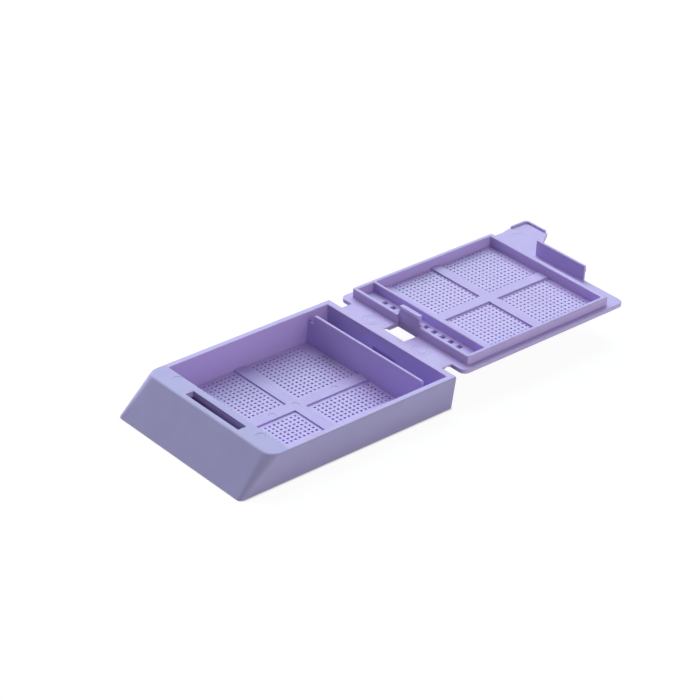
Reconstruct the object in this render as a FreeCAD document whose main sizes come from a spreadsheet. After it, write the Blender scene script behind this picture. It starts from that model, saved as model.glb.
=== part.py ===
"""Tissue cassette: a one-piece moulded tray and hinged lid with perforated floors.

Frame: the origin is on the underside, where the two bars of the tray's floor cross.  +X runs from the
slanted writing face to the hinge and on to the opened lid, +Y runs across the tray, +Z is up.
The lid is drawn opened flat, its inner face level with the tray's rim.

Inside every body the X coordinate is counted from the foot of the slanted face; each body's Placement then
moves it so that the bars cross at the origin.
"""

import FreeCAD, Part
import os

import Sketcher

# Driving dimensions in millimetres.  Heights are above the underside, lengths run along X, widths along Y.
DIMENSIONS = (
    # tray, outside
    ("tray_length", 40.45, "foot of the slanted face to the rear edge of the rim"),
    ("tray_width", 28.5, "across the rim"),
    ("tray_height", 5.5, "underside to rim"),
    ("outer_draft", 0.33, "how far each outer wall leans in at the foot"),
    ("face_run", 5.29, "length along X that the slanted face takes"),
    ("front_corner", 2.1, "plan radius of the front corners at the rim"),
    ("front_foot_corner", 0.75, "the same at the underside"),
    ("rear_corner", 0.35, "plan radius of the rear corners at the rim"),
    ("rear_foot_corner", 0.3, "the same at the underside"),
    # tray, inside
    ("side_wall", 1.07, "thickness at the rim"),
    ("rear_wall", 1.2, "thickness at the rim"),
    ("inner_draft", 0.08, "how far each inner wall leans in at the floor"),
    ("inner_corner", 0.14, "plan radius of the chamber's corners"),
    ("ledge_length", 3.47, "flat shelf between slanted face and chamber"),
    ("face_wall", 1.35, "thickness of the slanted face, along X"),
    ("ledge_wall", 0.95, "thickness of the shelf and of the chamber's front wall"),
    ("floor_thick", 0.65, "thickness of the floor's bars"),
    ("bar_width", 2.1, "width of the floor's crossing bars"),
    # slot for the lid's tongue
    ("slot_setback", 0.82, "rim edge of the slanted face to the slot"),
    ("tongue_front_gap", 0.14, "slot's front edge to the tongue's bead, closed"),
    ("tongue_rear_gap", 0.71, "slot's rear edge to the tongue, closed"),
    ("tongue_side_gap", 0.67, "slot's ends to the tongue"),
    # partition that closes off the narrow rear compartment
    ("compartment", 3.3, "clear length of the rear compartment"),
    ("partition_foot", 0.9, "partition thickness at the floor"),
    ("partition_tip", 0.5, "partition thickness at its top"),
    ("partition_drop", 0.1, "rim to the partition's top"),
    ("partition_round", 0.2, "radius of its top edges"),
    ("partition_corner", 0.4, "radius of the upper corners of its raised middle"),
    # perforation
    ("pane_thick", 0.3, "thickness of the perforated panes"),
    ("pane_lift", 0.1, "how far the panes sit inside the outer face"),
    ("hole", 0.65, "side of a square hole"),
    ("hole_pitch", 1.3, "centre to centre"),
    ("pane_margin", 0.75, "least distance from a pane's edge to the first row's centres"),
    ("gate_length", 1.9, "blank corner of the rear left pane, along X"),
    ("gate_width", 4.6, "the same along Y"),
    # hinge film
    ("film_length", 1.78, "rim to lid"),
    ("film_inset", 2.68, "lid's side to the end of the film"),
    ("film_thick", 0.32, "at its ends"),
    ("film_neck", 0.18, "thickness left over the folding groove"),
    ("film_groove", 0.7, "length of the groove along X"),
    ("fold_gap", 0.04, "rim to inner face of the closed lid"),
    # lid plate
    ("lid_inset", 0.45, "how far each side of the lid stands inside the tray's side"),
    ("lid_thick", 0.7, "thickness of the plate"),
    ("lid_hinge_corner", 1.1, "plan radius of the corners beside the hinge"),
    ("lid_far_corner", 1.2, "plan radius of the far right corner"),
    # lid ribs
    ("rib_height", 1.43, "above the inner face"),
    ("rib_thick", 0.72, "thickness of the frame of ribs"),
    ("far_rib_thick", 0.9, "thickness of its far rib"),
    ("inner_rib_thick", 0.6, "thickness of the rib in front of the partition"),
    ("rib_corner", 0.4, "plan radius of the frame of ribs"),
    ("rib_side_gap", 0.31, "side rib to the tray's side wall, closed"),
    ("rib_rear_gap", 0.37, "hinge-side rib to the tray's rear wall, closed"),
    ("rib_front_gap", 0.52, "far rib to the chamber's front wall, closed"),
    ("partition_gap", 0.39, "inner rib to the partition's top, closed"),
    ("notch_gap", 0.12, "side rib to the partition's raised middle, closed"),
    ("notch_floor_gap", 0.16, "side rib to the partition's low ends, closed"),
    # lid floor
    ("lid_bar_setback", 11.15, "inner face of the far rib to the lid's cross bar"),
    ("lid_cross_bar", 1.73, "width of the cross bar"),
    ("lid_long_bar", 2.0, "width of the lengthwise bar"),
    ("lid_row_margin", 0.37, "least distance from a lid pane's side to its first row's centres"),
    ("lid_near_land", 2.1, "plain strip between the inner rib and its panes"),
    ("channel_hole", 0.85, "side of the holes between the two hinge-side ribs"),
    ("channel_pitch", 1.82, "their centre distance"),
    ("channel_count", 10, "how many there are"),
    ("channel_offset", 0.5, "their row, off the middle between the two ribs"),
    # latch hook and the recess that takes it
    ("latch_side", 0.25, "latch centre, off the middle plane"),
    ("hook_width", 4.25, "along Y"),
    ("hook_thick", 0.6, "along X"),
    ("hook_setback", 0.3, "hook's face behind the outer face of its rib"),
    ("hook_height", 3.1, "above the inner face"),
    ("lip_reach", 0.32, "how far the hook's lip stands out"),
    ("lip_height", 0.5, "height of the lip"),
    ("lip_lead", 0.19, "length of the slope on the lip's tip"),
    ("lip_lead_height", 0.2, "height of that slope"),
    ("lip_undercut", 0.05, "slope of the lip's holding face"),
    ("recess_gap", 0.45, "room beside and below the lip in its recess"),
    ("recess_roof_gap", 0.1, "room above the lip, which holds the lid shut"),
    ("recess_depth", 0.6, "into the rear wall"),
    ("window_start", 0.6, "rim to the opening in front of the hook"),
    ("window_gap", 0.18, "that opening past each side of the hook"),
    # tongue on the far edge
    ("tongue_thick", 0.42, "along X"),
    ("tongue_width", 10.5, "along Y"),
    ("tongue_height", 2.6, "above the inner face"),
    ("bead_reach", 0.18, "how far its snap bead stands out"),
    ("bead_height", 0.7, "height of the bead"),
    ("bead_drop", 0.5, "bead below the tongue's tip"),
    # finger tab
    ("tab_reach", 6.44, "beyond the plate's far edge"),
    ("tab_start", 5.25, "where its slanted edge leaves the plate, off the middle plane"),
    ("tab_rise", 4.05, "along Y, over the slanted edge"),
    ("tab_overhang", 0.35, "tab past the plate's side"),
    ("tab_shoulder", 0.7, "far edge of the plate to where its side starts to widen"),
    ("tab_shoulder_run", 1.45, "length of that widening"),
    ("tab_outer_corner", 0.5, "plan radius at the slanted edge's end"),
    ("tab_end_corner", 0.9, "plan radius at the tab's far corner"),
    ("tab_lip", 0.34, "height and thickness of the bead along the tab's edges"),
    ("tab_lip_start", 2.7, "far edge of the plate to the start of that bead"),
    ("tab_lip_stop", 0.32, "end of the slanted edge to the end of that bead"),
    ("tab_lip_bevel", 0.24, "bevel on that bead's ends"),
)

# Lengths worked out from the sheet, written once and shared by the bodies.
REAR_INNER = "(Spec.tray_length - Spec.rear_wall)"
CHAMBER_FRONT = "(Spec.face_run + Spec.ledge_length)"
SIDE_INNER = "(Spec.tray_width / 2 - Spec.side_wall)"
PARTITION_BACK = f"({REAR_INNER} - Spec.compartment)"
PARTITION_FACE = f"({PARTITION_BACK} - Spec.partition_foot)"
PARTITION_TIP_FACE = f"({PARTITION_BACK} - Spec.partition_tip)"
FLOOR_FRONT = f"({CHAMBER_FRONT} + Spec.inner_draft)"
FLOOR_SIDE = f"({SIDE_INNER} - Spec.inner_draft)"
PANE_LENGTH = f"(({PARTITION_FACE} - {FLOOR_FRONT} - Spec.bar_width) / 2)"
CROSS_X = f"({FLOOR_FRONT} + {PANE_LENGTH} + Spec.bar_width / 2)"
PANE_TOP = "(Spec.pane_lift + Spec.pane_thick)"

SLOT_START = "(Spec.face_run + Spec.slot_setback)"
TONGUE_ROOM = "(Spec.tongue_front_gap + Spec.tongue_thick + Spec.bead_reach + Spec.tongue_rear_gap)"

HINGE_X = "(Spec.tray_length + Spec.film_length / 2)"
FOLD_GAP_HEIGHT = "(Spec.tray_height + Spec.fold_gap)"
LID_START = "(Spec.tray_length + Spec.film_length)"
LID_END = f"(2 * {HINGE_X} - {SLOT_START} - Spec.tongue_front_gap - Spec.bead_reach)"
LID_SIDE = "(Spec.tray_width / 2 - Spec.lid_inset)"
LID_BOTTOM = "(Spec.tray_height - Spec.lid_thick)"
RIB_OUTER_SIDE = f"({SIDE_INNER} - Spec.rib_side_gap)"
RIB_INNER_SIDE = f"({RIB_OUTER_SIDE} - Spec.rib_thick)"
RIB_REAR = f"(2 * {HINGE_X} - {REAR_INNER} + Spec.rib_rear_gap)"
RIB_FAR = f"(2 * {HINGE_X} - {CHAMBER_FRONT} - Spec.rib_front_gap)"
FAR_RIB_FACE = f"({RIB_FAR} - Spec.far_rib_thick)"
INNER_RIB = f"(2 * {HINGE_X} - {PARTITION_TIP_FACE} + Spec.partition_gap)"
INNER_RIB_BACK = f"({INNER_RIB} + Spec.inner_rib_thick)"
PARTITION_HALF = f"({RIB_INNER_SIDE} - Spec.notch_gap)"

LID_FAR_PANE = f"({FAR_RIB_FACE} - Spec.lid_bar_setback)"
LID_BAR = f"({LID_FAR_PANE} - Spec.lid_cross_bar)"
LID_NEAR_PANE = f"({INNER_RIB_BACK} + Spec.lid_near_land)"
LID_PANE_BOTTOM = f"({LID_BOTTOM} + Spec.pane_lift)"
LID_PANE_TOP = f"({LID_PANE_BOTTOM} + Spec.pane_thick)"

HOOK_FACE = f"({RIB_REAR} + Spec.hook_setback)"
HOOK_TOP = "(Spec.tray_height + Spec.hook_height)"
HOOK_LOW = "(Spec.latch_side - Spec.hook_width / 2)"
HOOK_HIGH = "(Spec.latch_side + Spec.hook_width / 2)"
WINDOW_LOW = f"({HOOK_LOW} - Spec.window_gap)"
WINDOW_HIGH = f"({HOOK_HIGH} + Spec.window_gap)"
WINDOW_START = "(Spec.tray_length + Spec.window_start)"
LIP_CLOSED_LOW = f"({FOLD_GAP_HEIGHT} - Spec.hook_height)"
LIP_CLOSED_HIGH = f"({LIP_CLOSED_LOW} + Spec.lip_height)"
TONGUE_FACE = f"({LID_END} - Spec.tongue_thick)"
TONGUE_TOP = "(Spec.tray_height + Spec.tongue_height)"
TAB_END = f"({LID_END} + Spec.tab_reach)"
TAB_SIDE = f"({LID_SIDE} + Spec.tab_overhang)"
TAB_KNEE = "(Spec.tab_start + Spec.tab_rise)"
TAB_LIP_END = f"({TAB_END} - Spec.tab_lip)"
TAB_LIP_SIDE = f"({TAB_SIDE} - Spec.tab_lip)"

SAME_PLACE = 0.01  # two places closer than this are one

document = FreeCAD.newDocument("TissueCassette")
sheet = document.addObject("Spreadsheet::Sheet", "Spec")
for row, (alias, value, meaning) in enumerate(DIMENSIONS, start=1):
    sheet.set(f"A{row}", alias)
    sheet.set(f"B{row}", str(value))
    sheet.set(f"C{row}", meaning)
    sheet.setAlias(f"B{row}", alias)
document.recompute()


def number(expression):
    """Value of an expression of sheet cells, as a float."""
    return float(sheet.evalExpression(expression))


def new_body(name, label):
    """Adds a body whose Placement brings the crossing of the floor's bars to the origin."""
    body = document.addObject("PartDesign::Body", name)
    body.Label = label
    body.setExpression("Placement.Base.x", f"-{CROSS_X}")
    return body


def new_sketch(body, name, plane="XY_Plane", height="0"):
    """Adds a sketch on one of the body's own origin planes, lifted along that plane's normal."""
    sketch = body.newObject("Sketcher::SketchObject", name)
    base = next(item for item in body.Origin.OriginFeatures if item.Role == plane)
    sketch.AttachmentSupport = (base, [""])
    sketch.MapMode = "FlatFace"
    sketch.setExpression("AttachmentOffset.Base.z", height)
    return sketch


def tie(sketch, edge, end, across, along):
    """Ties one end of a sketch edge to two expressions, measured from the sketch's origin."""
    for kind, expression in (("DistanceX", across), ("DistanceY", along)):
        constraint = Sketcher.Constraint(kind, -1, 1, edge, end, number(expression))
        index = sketch.addConstraint(constraint)
        sketch.setExpression(f"Constraints[{index}]", expression)


def add_polygon(sketch, corners):
    """Draws a closed polygon whose corners are pairs of expressions."""
    points = [FreeCAD.Vector(number(across), number(along), 0) for across, along in corners]
    first = sketch.GeometryCount
    for index, point in enumerate(points):
        following = points[(index + 1) % len(points)]
        sketch.addGeometry(Part.LineSegment(point, following))
    for index, (across, along) in enumerate(corners):
        edge = first + index
        before = first + (index - 1) % len(corners)
        sketch.addConstraint(Sketcher.Constraint("Coincident", before, 2, edge, 1))
        tie(sketch, edge, 1, across, along)


def add_rectangle(sketch, low_x, high_x, low_y, high_y):
    """Draws a rectangle between four expressions."""
    add_polygon(sketch, ((low_x, low_y), (high_x, low_y), (high_x, high_y), (low_x, high_y)))


def add_rounded(sketch, low_x, high_x, half_width, low_radius, high_radius):
    """Draws a rectangle centred on Y = 0 with one corner radius at low X and another at high X.

    Each corner is an arc from one straight side to the next; the ends of the straights are tied.
    """
    corners = (
        (low_x, f"-({half_width})", low_radius, (0, 1), (1, 0)),
        (high_x, f"-({half_width})", high_radius, (-1, 0), (0, 1)),
        (high_x, half_width, high_radius, (0, -1), (-1, 0)),
        (low_x, half_width, low_radius, (1, 0), (0, -1)),
    )
    ends = []
    for across, along, radius, enter, leave in corners:
        start = (f"{across} + ({enter[0]}) * {radius}", f"{along} + ({enter[1]}) * {radius}")
        finish = (f"{across} + ({leave[0]}) * {radius}", f"{along} + ({leave[1]}) * {radius}")
        ends.append((start, finish))
    for index, (across, along, radius, enter, leave) in enumerate(corners):
        start, finish = ends[index]
        first = FreeCAD.Vector(number(start[0]), number(start[1]), 0)
        last = FreeCAD.Vector(number(finish[0]), number(finish[1]), 0)
        size = number(radius)
        centre = first + FreeCAD.Vector(leave[0], leave[1], 0) * size
        middle = centre - FreeCAD.Vector(enter[0] + leave[0], enter[1] + leave[1], 0) * (size / 2**0.5)
        sketch.addGeometry(Part.Arc(first, middle, last))
        after = ends[(index + 1) % len(ends)][0]
        sketch.addGeometry(Part.LineSegment(last, FreeCAD.Vector(number(after[0]), number(after[1]), 0)))
    for index, (start, finish) in enumerate(ends):
        arc = 2 * index
        line = arc + 1
        following = (arc + 2) % (2 * len(ends))
        sketch.addConstraint(Sketcher.Constraint("Coincident", arc, 2, line, 1))
        sketch.addConstraint(Sketcher.Constraint("Coincident", line, 2, following, 1))
        tie(sketch, arc, 1, *start)
        tie(sketch, arc, 2, *finish)
        size = Sketcher.Constraint("Radius", arc, number(corners[index][2]))
        sketch.setExpression(f"Constraints[{sketch.addConstraint(size)}]", corners[index][2])


def loft(body, name, kind, lower, upper):
    """Adds a ruled loft between two sketches, so that flat walls stay flat."""
    feature = body.newObject(f"PartDesign::{kind}Loft", name)
    feature.Profile = lower
    feature.Sections = [upper]
    feature.Ruled = True
    return feature


def pad(body, name, sketch, length, downwards=False, centred=False):
    """Adds a pad of the sketch, along its normal, against it, or to both sides."""
    feature = body.newObject("PartDesign::Pad", name)
    feature.Profile = sketch
    feature.setExpression("Length", length)
    feature.Reversed = downwards
    if centred:
        feature.SideType = "Symmetric"
    return feature


def pocket(body, name, sketch, depth, upwards=False, centred=False):
    """Cuts the sketch into the body and checks that the cut has taken something away."""
    document.recompute()
    before = body.Shape.Volume
    feature = body.newObject("PartDesign::Pocket", name)
    feature.Profile = sketch
    feature.setExpression("Length", depth)
    feature.Reversed = upwards
    if centred:
        feature.SideType = "Symmetric"
    document.recompute()
    if body.Shape.Volume >= before:
        raise RuntimeError(f"{body.Label}: {name} cuts nothing")
    return feature


def dress(body, kind, name, wanted):
    """Adds a feature of that kind on those edges of the body as it stands for which wanted(edge) holds."""
    document.recompute()
    base = body.Tip
    edges = [f"Edge{index}" for index, edge in enumerate(base.Shape.Edges, start=1) if wanted(edge)]
    if not edges:
        raise RuntimeError(f"{body.Label}: {name} finds no edge")
    feature = body.newObject(f"PartDesign::{kind}", name)
    feature.Base = (base, edges)
    return feature


def fillet(body, name, wanted, radius):
    """Rounds the wanted edges of the body."""
    feature = dress(body, "Fillet", name, wanted)
    feature.setExpression("Radius", radius)
    return feature


def chamfer(body, name, wanted, size):
    """Bevels the wanted edges of the body."""
    feature = dress(body, "Chamfer", name, wanted)
    feature.setExpression("Size", size)
    return feature


def hole_count(length, margin="Spec.pane_margin"):
    """Expression for how many holes fit along a pane of that length."""
    return f"(floor(({length} - 2 * {margin}) / Spec.hole_pitch + 0.01) + 1)"


def grid(body, name, sketch_height, depth, side, start, counts, pitch):
    """Cuts a rectangular grid of square holes.

    start holds the first hole's centre and counts how many holes lie along X and Y, as expressions.
    """
    sketch = new_sketch(body, f"{name}Square", height=sketch_height)
    add_rectangle(
        sketch,
        f"{start[0]} - {side} / 2",
        f"{start[0]} + {side} / 2",
        f"{start[1]} - {side} / 2",
        f"{start[1]} + {side} / 2",
    )
    first = pocket(body, f"{name}Hole", sketch, depth)
    before = body.Shape.Volume
    pattern = body.newObject("PartDesign::LinearPattern", f"{name}Grid")
    pattern.Originals = [first]
    pattern.Direction = (sketch, ["H_Axis"])
    pattern.Direction2 = (sketch, ["V_Axis"])
    pattern.Mode = "Spacing"
    pattern.Mode2 = "Spacing"
    pattern.Spacings2 = [-1.0]  # minus one stands for the offset, so the first step has its full length
    pattern.setExpression("Offset", pitch)
    pattern.setExpression("Offset2", pitch)
    pattern.setExpression("Occurrences", counts[0])
    pattern.setExpression("Occurrences2", counts[1])
    body.Tip = pattern
    document.recompute()
    if body.Shape.Volume >= before:
        raise RuntimeError(f"{body.Label}: {name} repeats nothing")
    return pattern


def perforate(body, name, pane, top, depth, row_margin="Spec.pane_margin", columns=None, rows=None):
    """Fills a pane, given as four expressions low x, high x, low y, high y, with its centred grid of holes.

    columns is a pair, first column and number of columns; rows a number of rows; both default to all.
    """
    low_x, high_x, low_y, high_y = pane
    all_columns = hole_count(f"({high_x} - {low_x})")
    all_rows = hole_count(f"({high_y} - {low_y})", row_margin)
    start_x = f"({low_x} + ({high_x} - {low_x} - ({all_columns} - 1) * Spec.hole_pitch) / 2)"
    start_y = f"({low_y} + ({high_y} - {low_y} - ({all_rows} - 1) * Spec.hole_pitch) / 2)"
    first_column, column_count = columns or ("0", all_columns)
    start = (f"({start_x} + ({first_column}) * Spec.hole_pitch)", start_y)
    counts = (column_count, rows or all_rows)
    return grid(body, name, top, depth, "Spec.hole", start, counts, "Spec.hole_pitch")


def build_tray():
    """Tray: drafted walls, slanted face over a hollow wedge, chamber, partition, perforated floor."""
    body = new_body("Tray", "tray")
    foot = new_sketch(body, "FootOutline")
    add_rounded(
        foot,
        "0",
        "Spec.tray_length - Spec.outer_draft",
        "Spec.tray_width / 2 - Spec.outer_draft",
        "Spec.front_foot_corner",
        "Spec.rear_foot_corner",
    )
    rim = new_sketch(body, "RimOutline", height="Spec.tray_height")
    add_rounded(
        rim,
        "Spec.face_run",
        "Spec.tray_length",
        "Spec.tray_width / 2",
        "Spec.front_corner",
        "Spec.rear_corner",
    )
    loft(body, "OuterBlock", "Additive", foot, rim)

    floor = new_sketch(body, "ChamberFloor", height="Spec.floor_thick")
    add_rounded(
        floor,
        FLOOR_FRONT,
        f"{REAR_INNER} - Spec.inner_draft",
        FLOOR_SIDE,
        "Spec.inner_corner",
        "Spec.inner_corner",
    )
    mouth = new_sketch(body, "ChamberMouth", height="Spec.tray_height")
    add_rounded(mouth, CHAMBER_FRONT, REAR_INNER, SIDE_INNER, "Spec.inner_corner", "Spec.inner_corner")
    loft(body, "Chamber", "Subtractive", floor, mouth)

    add_wedge_hollow(body)
    add_partition(body)
    cut_latch_recess(body)
    cut_tray_floor(body)
    return body


def add_wedge_hollow(body):
    """Hollows the block under the slanted face from below and cuts the tongue's slot into it."""
    wall_front = f"({CHAMBER_FRONT} - Spec.ledge_wall)"
    roof = "(Spec.tray_height - Spec.ledge_wall)"
    slope = "(Spec.face_run / Spec.tray_height)"
    section = new_sketch(body, "WedgeSection", plane="XZ_Plane")
    add_polygon(
        section,
        (
            ("Spec.face_wall", "0"),
            (wall_front, "0"),
            (wall_front, roof),
            (f"{roof} * {slope} + Spec.face_wall", roof),
        ),
    )
    pocket(body, "WedgeHollow", section, f"2 * ({FLOOR_SIDE} - Spec.outer_draft)", centred=True)

    slot = new_sketch(body, "SlotOutline", height="Spec.tray_height")
    half = "(Spec.tongue_width / 2 + Spec.tongue_side_gap)"
    add_rectangle(slot, SLOT_START, f"{SLOT_START} + {TONGUE_ROOM}", f"-{half}", half)
    pocket(body, "TongueSlot", slot, "Spec.ledge_wall + Spec.pane_thick")


def add_partition(body):
    """Adds the partition: low ends that reach the side walls and a raised, round-topped middle."""
    low_top = f"({FOLD_GAP_HEIGHT} - Spec.rib_height - Spec.notch_floor_gap)"
    high_top = "(Spec.tray_height - Spec.partition_drop)"
    lean = f"(({PARTITION_TIP_FACE} - {PARTITION_FACE}) / ({high_top} - Spec.floor_thick))"
    stages = (
        ("Low", low_top, f"2 * {SIDE_INNER}"),
        ("High", high_top, f"2 * {PARTITION_HALF}"),
    )
    for name, top, width in stages:
        section = new_sketch(body, f"Partition{name}Section", plane="XZ_Plane")
        tip_face = f"({PARTITION_FACE} + ({top} - Spec.floor_thick) * {lean})"
        add_polygon(
            section,
            (
                (PARTITION_FACE, "Spec.floor_thick"),
                (PARTITION_BACK, "Spec.floor_thick"),
                (PARTITION_BACK, top),
                (tip_face, top),
            ),
        )
        pad(body, f"Partition{name}", section, width, centred=True)
    top_height = number(high_top)
    half = number(PARTITION_HALF)

    def at_top(edge):
        return all(abs(vertex.Z - top_height) < SAME_PLACE for vertex in edge.Vertexes)

    def at_end(edge):
        return at_top(edge) and edge.Length < half

    def along_top(edge):
        return at_top(edge) and edge.Length > half

    fillet(body, "PartitionEnds", at_end, "Spec.partition_corner")
    fillet(body, "PartitionTop", along_top, "Spec.partition_round")


def cut_latch_recess(body):
    """Cuts the pocket in the rear wall's inner face that takes the hook's lip."""
    section = new_sketch(body, "RecessSection", plane="XZ_Plane", height="-Spec.latch_side")
    low = f"({LIP_CLOSED_LOW} - Spec.recess_gap)"
    high = f"({LIP_CLOSED_HIGH} + Spec.recess_roof_gap)"
    back = f"({REAR_INNER} + Spec.recess_depth)"
    front = f"({REAR_INNER} - 2 * Spec.inner_draft)"
    add_polygon(section, ((front, low), (back, low), (back, high), (front, high)))
    pocket(body, "LatchRecess", section, "Spec.hook_width + 2 * Spec.recess_gap", centred=True)


def cut_tray_floor(body):
    """Recesses the four panes between the floor's bars from both faces and perforates them."""
    near_x = (FLOOR_FRONT, f"({FLOOR_FRONT} + {PANE_LENGTH})")
    far_x = (f"({PARTITION_FACE} - {PANE_LENGTH})", PARTITION_FACE)
    right_y = (f"(-{FLOOR_SIDE})", "(-Spec.bar_width / 2)")
    left_y = ("(Spec.bar_width / 2)", FLOOR_SIDE)
    panes = {
        "FrontRight": near_x + right_y,
        "FrontLeft": near_x + left_y,
        "RearRight": far_x + right_y,
        "RearLeft": far_x + left_y,
    }
    above = new_sketch(body, "PanesAbove", height="Spec.floor_thick")
    below = new_sketch(body, "PanesBelow")
    for pane in panes.values():
        add_rectangle(above, *pane)
        add_rectangle(below, *pane)
    pocket(body, "PaneRecess", above, f"Spec.floor_thick - {PANE_TOP}")
    pocket(body, "PaneUnderside", below, "Spec.pane_lift", upwards=True)

    for name in ("FrontRight", "FrontLeft", "RearRight"):
        perforate(body, name, panes[name], PANE_TOP, PANE_TOP)

    # The rear left pane keeps a blank corner: full columns first, then the columns that stop short of it.
    rear_left = panes["RearLeft"]
    columns = hole_count(PANE_LENGTH)
    rows = hole_count(f"({FLOOR_SIDE} - Spec.bar_width / 2)")
    blank_columns = "floor(Spec.gate_length / Spec.hole_pitch)"
    blank_rows = "floor(Spec.gate_width / Spec.hole_pitch)"
    full_columns = ("0", f"{columns} - {blank_columns}")
    perforate(body, "RearLeft", rear_left, PANE_TOP, PANE_TOP, columns=full_columns)
    perforate(
        body,
        "GateColumns",
        rear_left,
        PANE_TOP,
        PANE_TOP,
        columns=(f"{columns} - {blank_columns}", blank_columns),
        rows=f"{rows} - {blank_rows}",
    )


def build_film():
    """Hinge film: a thin strip from the tray's rim to the lid, grooved below where it folds."""
    body = new_body("HingeFilm", "hinge_film")
    half = f"({LID_SIDE} - Spec.film_inset)"
    outline = new_sketch(body, "FilmOutline", height="Spec.tray_height")
    start = "Spec.tray_length"
    add_polygon(
        outline,
        (
            (start, f"-{half}"),
            (LID_START, f"-{half}"),
            (LID_START, WINDOW_LOW),
            (WINDOW_START, WINDOW_LOW),
            (WINDOW_START, WINDOW_HIGH),
            (LID_START, WINDOW_HIGH),
            (LID_START, half),
            (start, half),
        ),
    )
    pad(body, "Strip", outline, "Spec.film_thick", downwards=True)
    groove = new_sketch(body, "GrooveOutline", height="Spec.tray_height - Spec.film_thick")
    low = f"({HINGE_X} - Spec.film_groove / 2)"
    high = f"({HINGE_X} + Spec.film_groove / 2)"
    add_rectangle(groove, low, high, f"-{half}", half)
    pocket(body, "FoldGroove", groove, "Spec.film_thick - Spec.film_neck", upwards=True)
    return body


def build_lid():
    """Lid: plate with finger tab, frame of ribs, latch hook, snap tongue and perforated panes."""
    body = new_body("Lid", "lid")
    add_lid_plate(body)
    add_tab_lip(body)
    round_lid_corners(body)
    add_lid_ribs(body)
    add_tongue(body)
    cut_lid_floor(body)
    add_hook(body)
    return body


def round_upright_edge(body, name, across, along, radius):
    """Rounds the upright edge that stands at the place given by two expressions."""
    place = (number(across), number(along))

    def stands_there(edge):
        return all(
            abs(vertex.X - place[0]) < SAME_PLACE and abs(vertex.Y - place[1]) < SAME_PLACE
            for vertex in edge.Vertexes
        )

    fillet(body, name, stands_there, radius)


def add_lid_plate(body):
    """Pads the plate with its finger tab."""
    shoulder = f"({LID_END} + Spec.tab_shoulder)"
    outline = new_sketch(body, "LidOutline", height=LID_BOTTOM)
    add_polygon(
        outline,
        (
            (LID_START, f"-{LID_SIDE}"),
            (LID_END, f"-{LID_SIDE}"),
            (LID_END, "Spec.tab_start"),
            (TAB_END, TAB_KNEE),
            (TAB_END, TAB_SIDE),
            (f"({shoulder} + Spec.tab_shoulder_run)", TAB_SIDE),
            (shoulder, LID_SIDE),
            (LID_START, LID_SIDE),
        ),
    )
    pad(body, "Plate", outline, "Spec.lid_thick")


def add_tab_lip(body):
    """Pads the raised bead along the tab's far edge and its side edge, with bevelled ends."""
    lip = new_sketch(body, "TabLipOutline", height="Spec.tray_height")
    start = f"({LID_END} + Spec.tab_lip_start)"
    stop = f"({TAB_KNEE} + Spec.tab_lip_stop)"
    add_polygon(
        lip,
        (
            (start, TAB_SIDE),
            (TAB_END, TAB_SIDE),
            (TAB_END, stop),
            (TAB_LIP_END, stop),
            (TAB_LIP_END, TAB_LIP_SIDE),
            (start, TAB_LIP_SIDE),
        ),
    )
    pad(body, "TabLip", lip, "Spec.tab_lip")
    top_height = number("Spec.tray_height + Spec.tab_lip")
    start_x = number(start)
    stop_y = number(stop)

    def ends_bead(edge):
        points = [vertex.Point for vertex in edge.Vertexes]
        on_top = all(abs(point.z - top_height) < SAME_PLACE for point in points)
        at_start = all(abs(point.x - start_x) < SAME_PLACE for point in points)
        at_stop = all(abs(point.y - stop_y) < SAME_PLACE for point in points)
        return on_top and (at_start or at_stop)

    chamfer(body, "TabLipEnds", ends_bead, "Spec.tab_lip_bevel")


def round_lid_corners(body):
    """Rounds the upright edges of the plate's outline and the bead's inner corner."""
    corners = {
        "HingeRight": (LID_START, f"-{LID_SIDE}", "Spec.lid_hinge_corner"),
        "FarRight": (LID_END, f"-{LID_SIDE}", "Spec.lid_far_corner"),
        "TabOuter": (TAB_END, TAB_KNEE, "Spec.tab_outer_corner"),
        "TabEnd": (TAB_END, TAB_SIDE, "Spec.tab_end_corner"),
        "TabLipInner": (TAB_LIP_END, TAB_LIP_SIDE, "Spec.tab_end_corner - Spec.tab_lip"),
        "HingeLeft": (LID_START, LID_SIDE, "Spec.lid_hinge_corner"),
    }
    for name, (across, along, radius) in corners.items():
        round_upright_edge(body, f"{name}Corner", across, along, radius)


def add_lid_ribs(body):
    """Pads the closed frame of ribs and the inner rib that shuts against the partition."""
    frame = new_sketch(body, "RibFrame", height="Spec.tray_height")
    add_rounded(frame, RIB_REAR, RIB_FAR, RIB_OUTER_SIDE, "Spec.rib_corner", "Spec.rib_corner")
    add_rectangle(
        frame, f"{RIB_REAR} + Spec.rib_thick", FAR_RIB_FACE, f"-{RIB_INNER_SIDE}", RIB_INNER_SIDE
    )
    pad(body, "Ribs", frame, "Spec.rib_height")
    inner = new_sketch(body, "InnerRibOutline", height="Spec.tray_height")
    reach = f"({RIB_INNER_SIDE} + Spec.rib_thick / 2)"
    add_rectangle(inner, INNER_RIB, INNER_RIB_BACK, f"-{reach}", reach)
    pad(body, "InnerRib", inner, "Spec.rib_height")


def add_tongue(body):
    """Pads the tongue on the far edge, with a snap bead on the side that faces away from the hinge."""
    section = new_sketch(body, "TongueSection", plane="XZ_Plane")
    bead_top = f"({TONGUE_TOP} - Spec.bead_drop)"
    bead_bottom = f"({bead_top} - Spec.bead_height)"
    add_polygon(
        section,
        (
            (TONGUE_FACE, LID_BOTTOM),
            (LID_END, LID_BOTTOM),
            (LID_END, bead_bottom),
            (f"{LID_END} + Spec.bead_reach", f"({bead_top} + {bead_bottom}) / 2"),
            (LID_END, bead_top),
            (LID_END, TONGUE_TOP),
            (TONGUE_FACE, TONGUE_TOP),
        ),
    )
    pad(body, "Tongue", section, "Spec.tongue_width", centred=True)


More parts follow.
